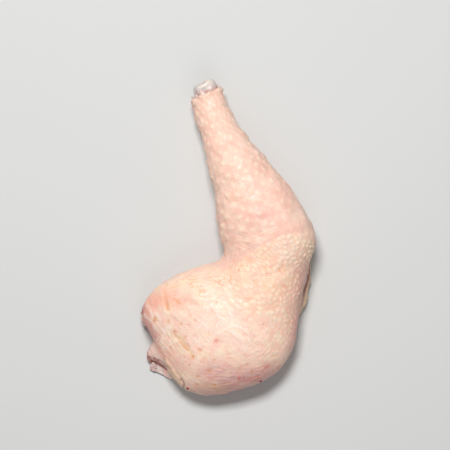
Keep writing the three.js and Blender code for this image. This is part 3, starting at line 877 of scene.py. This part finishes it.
# %% Skin material
SKIN_LAYERS = [
    ("fat", "#fbdbc3", 0.9, fat),
    ("cream", "#fde4c4", 0.6, cream * (1 - lobe)),
    ("mottle", "#f5c2b0", 0.6, mottle * (1 - lobe)),
    ("milky", "#ffe8dc", 0.35, tint(MILKY) * on_thigh * top * (1 - lobe)),
    # warm paler tint that paints the light on the drumstick's left side
    ("warm_painted_light", "#f9cfbb", 0.45, warm_painted_light * top),
    # pink flush, with painted shade in the hollows
    ("flush_and_shade", "#f3a48c", 0.6, flush_and_shade * top * (1 - lobe + 0.6 * lobe * lobe_hollow_shade)),
    # purple tint, partly the skin's own colour and partly painted shade
    ("livid_and_shade", "#c78d93", 0.55, livid_and_shade * (1 - 0.6 * on_drumstick)),
    ("yellow", "#edc598", 0.6, np.maximum(tint(YELLOWED) * top, 1.1 * valley)),
    # orange creases, partly their own colour and partly painted shade
    ("crease_colour_and_shade", "#eba272", 0.8, crease_colour_and_shade),
    ("pale", "#ffe8ce", 0.75, pale),
    ("lip", "#fff1e6", 0.55, lip),
    ("pit", "#dd9658", 0.9, pitted),
    ("bruise", "#d76c5a", 0.7, 1.3 * bruise),
    ("blood", "#b3202a", 1.0, blood),
    ("lobe", "#e8c8bb", 0.85, lobe * (1 - lobe_rim) * (1 - 0.5 * lobe_hollow_shade) * (1 - fat_fold)),
    ("rim_fat", "#f0d2ab", 0.85, np.maximum(rim_fat, 0.7 * under_edge)),
    ("fat_fold", "#e8c6ab", 0.85, fat_fold * (0.65 + 0.35 * fat_lobes)),
    # painted shade: dark brown in the gap under the right edge and in the crack
    ("gap_and_painted_shade", "#86524a", 0.75, np.maximum(gap_and_painted_shade, 0.7 * crack)),
    ("bare", "#b8645c", 0.95, flesh),
    ("silver", "#e2c3bd", 0.7, silver),
]
for name, _, _, mask in SKIN_LAYERS:
    put_mask(skin, name, mask)
raw_skin = tissue(
    "raw_skin",
    light="#f9dac9",
    dark="#f2c3b1",
    patch=7.0,
    grain=0.9,
    rough=0.5,
    depth=2.0,
    relief=0.3,
    layers=[layer[:3] for layer in SKIN_LAYERS],
    # painted shade in the low places of the grain
    valley="#f4d2c2",
)
skin.data.materials.append(raw_skin)

# %% [markdown]
# ## Bones
#
# The shin bone comes out at the hock, where the foot was taken off through the joint. Its end is two rounded
# knuckles with a groove between, under smooth wet cartilage. That gives the eye a grey ivory with a sharp
# sheen, and a red stain in the groove and where it enters the meat.
#
# The hip bone is a thin plate that was sawn through. The saw leaves a dull, nearly white face, with small
# pores and pink blots where the marrow is, and a red line where meat hung on along its top. Both solids have
# the right shape. Each gets a fine net as the skin did, and the plate's outline is made a little uneven.

# %% Shin bone
shin_piece = fine_copy("shin_bone", "shin_end", square=0.6, rounds=6)
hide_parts("shin_bone")
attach(shin_piece, "root")
bone_points, bone_normals = points_of(shin_piece)
bone_along = round_the_shin(bone_points)[0]
near_joint = rise(-14, -4, bone_along - bone_along.max())
knuckle_face = rise(0.6, 0.9, bone_normals @ shin)
groove = bell((bone_points - HOCK) @ sideways, 2.0) * knuckle_face
swell = 0.12 * ripples(bone_points, 5.0, 81) - 1.3 * groove
put_points(shin_piece, bone_points + bone_normals * swell[:, None])
stain = (1 - near_joint) * 0.9 + 0.5 * clamp(ripples(bone_points, 6.0, 82)) + 0.5 * groove
put_mask(shin_piece, "stain", stain)
wet_cartilage = tissue(
    "wet_cartilage",
    light="#e0d6cb",
    dark="#c6bfba",
    patch=5.0,
    grain=1.6,
    rough=0.3,
    depth=2.0,
    relief=0.08,
    layers=[("stain", "#d08f86", 0.75)],
)
shin_piece.data.materials.append(wet_cartilage)

# %% Hip bone
hip_piece = fine_copy("hip_bone", "hip_plate", square=0.4, rounds=3)
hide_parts("hip_bone")
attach(hip_piece, "root")
hip_points, hip_normals = points_of(hip_piece)
pores = clamp(1 - lumps(hip_points, 1.1, 83) * 1.5)
uneven = np.clip(0.3 * ripples(hip_points, 6.0, 85), -0.5, 0.5) + 0.08 * ripples(hip_points, 2.6, 86)
uneven *= rise(-0.3, -1.2, past_plane(hip_points, SAW_FOOT, CUT_LEAN, SAW_TILT)) + 0.35
put_points(hip_piece, hip_points + hip_normals * (uneven - 0.12 * pores)[:, None])
blotches = clamp(ripples(hip_points, 5.0, 84) - 0.2)
put_mask(hip_piece, "marrow", 0.35 * pores + blotches * (0.6 + 0.4 * pores))
hip_top = hip_points[:, 2].max()
put_mask(hip_piece, "rim", rise(hip_top - 0.9, hip_top - 0.2, hip_points[:, 2]))
sawn_bone = tissue(
    "sawn_bone",
    light="#fff7f0",
    dark="#ffe2d6",
    patch=3.0,
    grain=0.7,
    rough=0.35,
    depth=1.5,
    relief=0.12,
    layers=[("marrow", "#fba694", 0.6), ("rim", "#c45a55", 0.8)],
)
hip_piece.data.materials.append(sawn_bone)

# %% [markdown]
# ## Small torn pieces
#
# Where the leg was cut free, small things are left that are not skin: a torn film of membrane at the end of
# the sawn bone, drops of set blood on the skin, and at the hock the ends of the tendons round the shin bone.
# A drop or a tendon is a short tube that swells and thins along its path. The film is a thin round sheet,
# drawn out to an outline, laid on the sawn face and crumpled.

# %% Strands and films
solid_cloud = np.vstack([pushed, hip_points])


def on_skin(px, py):
    """The highest point of the skin or the hip bone that the camera sees at a pixel, in mm."""
    seen_across, seen_down = seen_at(solid_cloud)
    cost = np.hypot(seen_across - px, seen_down - py) - 0.12 * solid_cloud[:, 2]
    x = (px - ORIGIN_PIXEL[0]) * MM_PER_PIXEL
    y = (ORIGIN_PIXEL[1] - py) * MM_PER_PIXEL
    return np.array([x, y, solid_cloud[np.argmin(cost), 2]])


def at_pixel(px, py, z):
    """The place in mm that the camera sees at a pixel, when its height is known."""
    shrink = (WIDEST_Z + CAMERA_RISE - z) / CAMERA_RISE * MM_PER_PIXEL
    return np.array([CENTRE[0] + (px - MIDDLE) * shrink, CENTRE[1] - (py - MIDDLE) * shrink, z])


def on_saw_cut(px, py, above):
    """The place on the sawn face at a pixel, in mm."""
    z = 4.0
    for _ in range(4):
        place = at_pixel(px, py, z)[None]
        over = past_plane(place, SAW_FOOT, CUT_LEAN, SAW_TILT)[0]
        z = max(z - over / math.sin(math.radians(SAW_TILT)), 0.4)
    return at_pixel(px, py, z + above)


def new_piece(name, places, faces, material):
    """A smooth mesh from places in mm, which moves with the leg."""
    mesh = bpy.data.meshes.new(name)
    mesh.from_pydata([tuple(place) for place in np.array(places) * MM], [], faces)
    for face in mesh.polygons:
        face.use_smooth = True
    mesh.materials.append(material)
    piece = new_object(name, mesh)
    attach(piece, "root")
    return piece


def strand(name, path, widths, flat, material, seed, rough, sides, roll=0.0):
    """A soft tube through a path in mm. widths are its half widths along the path, flat squashes its height,
    and roll turns it about the path in degrees, its outer side down."""
    path = np.array(path, float)
    steps = np.linspace(0, len(path) - 1, 10 * (len(path) - 1) + 1)
    line = np.column_stack([np.interp(steps, range(len(path)), path[:, k]) for k in range(3)])
    for _ in range(12):
        line[1:-1] = (line[:-2] + 2 * line[1:-1] + line[2:]) / 4
    ahead = np.gradient(line, axis=0)
    ahead /= np.linalg.norm(ahead, axis=1)[:, None]
    side = np.cross(ahead, (0.02, 0.01, 1.0))
    side /= np.linalg.norm(side, axis=1)[:, None]
    lift = np.cross(side, ahead)
    c, s = cos_sin(roll)
    side, lift = side * c - lift * s, lift * c + side * s
    t = np.linspace(0, 1, len(line))
    half = np.interp(t, np.linspace(0, 1, len(widths)), widths)
    half *= np.sqrt(np.clip(1 - (2 * t - 1) ** 10, 0.02, 1))
    turn = np.arange(sides) * 2 * math.pi / sides
    rings = line[:, None] + half[:, None, None] * (
        np.cos(turn)[None, :, None] * side[:, None] + flat * np.sin(turn)[None, :, None] * lift[:, None]
    )
    places = rings.reshape(-1, 3)
    places = places + rough * np.column_stack([ripples(places, 2.2, seed + k) for k in range(3)])
    faces = []
    for i in range(len(line) - 1):
        for j in range(sides):
            k = (j + 1) % sides
            faces.append((i * sides + j, i * sides + k, (i + 1) * sides + k, (i + 1) * sides + j))
    faces.append(tuple(range(sides))[::-1])
    faces.append(tuple((len(line) - 1) * sides + j for j in range(sides)))
    return new_piece(name, places, faces, material)


def film(name, outline, above, thick, crumple, material, seed):
    """A thin crumpled sheet over an outline of pixels, lying on the sawn face."""
    outline = np.array(outline, float)
    middle = outline.mean(axis=0)
    closed = np.vstack([outline, outline[:1]])
    sides, rings = 40, 8
    round_it = np.linspace(0, len(outline), sides + 1)[:-1]
    rim = np.column_stack([np.interp(round_it, range(len(closed)), closed[:, k]) for k in range(2)])
    rim += np.random.default_rng(seed).normal(0, 0.25, rim.shape)
    places, faces = [on_saw_cut(*middle, above)], []
    for ring in range(1, rings + 1):
        for px, py in middle + (rim - middle) * ring / rings:
            places.append(on_saw_cut(px, py, above))
    places = np.array(places)
    places[:, 2] += crumple * ripples(places * (1, 1, 0), 3.0, seed)
    for j in range(sides):
        k = (j + 1) % sides
        faces.append((0, 1 + j, 1 + k))
        for ring in range(rings - 1):
            a, b = 1 + ring * sides, 1 + (ring + 1) * sides
            faces.append((a + j, b + j, b + k, a + k))
    piece = new_piece(name, places, faces, material)
    skinned = piece.modifiers.new("thickness", "SOLIDIFY")
    skinned.thickness = thick * MM
    skinned.offset = 0
    return piece


# %% [markdown]
# ### What the torn pieces are made of
#
# Membrane is a thin wet sheet, so it looks milky pink with a soft sheen. Tendon is packed white fibre,
# stained by the meat round it: ivory, duller than cartilage. Set blood is thick and nearly opaque. It gives a
# deep red with a clear highlight.

# %% Materials of the torn pieces
torn_membrane = tissue("torn_membrane", "#f5dcd5", "#dfaaa4", 2.0, 0.6, 0.3, 1.5, relief=0.15)
tendon = tissue("tendon", "#ead9d0", "#cda79d", 1.5, 0.5, 0.35, 1.2, relief=0.1)
set_blood = tissue("set_blood", "#a3141c", "#7a0d16", 1.0, 0.3, 0.22, 0.4, relief=0.05)

# %% Membrane and blood at the back
FILM_EDGE = [(149.5, 369), (150.5, 364), (153, 362), (155.5, 364), (157, 367.5), (156, 371), (153, 371.3)]
DROPS = [(187.8, 388.4, 0.75), (260.6, 381, 0.6)]
film("torn_membrane", FILM_EDGE, above=0.45, thick=0.25, crumple=0.22, material=torn_membrane, seed=93)
for n, (px, py, size) in enumerate(DROPS):
    here = on_skin(px, py)
    ends = [here - (size, 0, 0), here, here + (size, 0, 0)]
    strand(f"blood_{n}", ends, (size * 0.6, size, size * 0.6), 0.5, set_blood, 95 + n, rough=0.03, sides=10)
print("drops of blood", len(DROPS))

# %% [markdown]
# A tendon is given by its turn round the bone in degrees, and in mm its distance from the bone's middle, its
# half width and how far it stands out of the cut.

# %% Tendons at the hock
HOCK_FACE = np.array([-17.7, 135.0, 11.5])
out_of_hock = np.array([-0.383, 0.924, 0.0])
across_hock = np.array([0.924, 0.383, 0.0])
TENDONS = [
    (104, 8.5, 1.7, 3.4),
    (136, 8.2, 1.0, 1.8),
    (-20, 8.7, 1.1, 2.2),
    (-72, 8.2, 1.6, 2.8),
    (190, 8.5, 1.0, 2.0),
]
for n, (turn, off, half, long) in enumerate(TENDONS):
    beside, lift = cos_sin(turn)
    root = HOCK_FACE + off * (beside * across_hock + lift * np.array([0, 0, 1]))
    tip = root + out_of_hock * long + np.array([0, 0, -0.3 * long]) + 0.3 * long * beside * across_hock
    widths = (half, half * 1.1, half * 0.9, half * 0.55)
    path = [root - 3 * out_of_hock, root, tip]
    strand(f"tendon_{n}", path, widths, 0.45, tendon, 110 + n, rough=0.12, sides=12, roll=turn - 90)
print("tendons", len(TENDONS))

# %% [markdown]
# ## Floor and light
#
# The leg lies on a sheet of plain pale paper, matt and neutral, so that only the meat gives colour. A small
# strong light stands beyond the knee and high up. It gives the bright patches on the upper skin and the soft
# shadow at the low edge. A broad weak light on the other side and a dim room keep that shadow open.

# %% Floor and light
HALF_SHEET = 1500 * MM
SUNK = 0.3 * MM
floor_mesh = bpy.data.meshes.new("floor")
corners = [(a * HALF_SHEET, b * HALF_SHEET, -SUNK) for a, b in ((-1, -1), (1, -1), (1, 1), (-1, 1))]
floor_mesh.from_pydata(corners, [], [(0, 1, 2, 3)])
floor = new_object("floor", floor_mesh)
paper, tree = new_material("pale_paper")
paper_look = {"Base Color": linear("#cfcfcd"), "Roughness": 0.8}
shader = add_node(tree, "ShaderNodeBsdfPrincipled", paper_look)
add_node(tree, "ShaderNodeOutputMaterial", {"Surface": shader.outputs[0]})
floor_mesh.materials.append(paper)


def soft_box(name, place, aim, size, watts):
    light = bpy.data.lights.new(name, "AREA")
    light.shape = "RECTANGLE"
    light.size, light.size_y = size
    light.energy = watts
    box = new_object(name, light)
    box.location = place
    box.rotation_euler = (Vector(aim) - Vector(place)).to_track_quat("-Z", "Y").to_euler()
    print(name, "light of", watts, "watts")


soft_box("key", place=(-0.12, 0.58, 1.18), aim=(0, 0.05, 0), size=(0.4, 0.28), watts=15.8)
soft_box("fill", place=(0.15, -0.72, 0.85), aim=(0, 0.03, 0), size=(0.8, 0.8), watts=2.2)
world = bpy.data.worlds.new("room")
world.use_nodes = True
room_light = world.node_tree.nodes["Background"].inputs
room_light["Color"].default_value = linear("#f2f4f8")
room_light["Strength"].default_value = 0.2
bpy.context.scene.world = world
bpy.context.scene.view_settings.view_transform = "Standard"
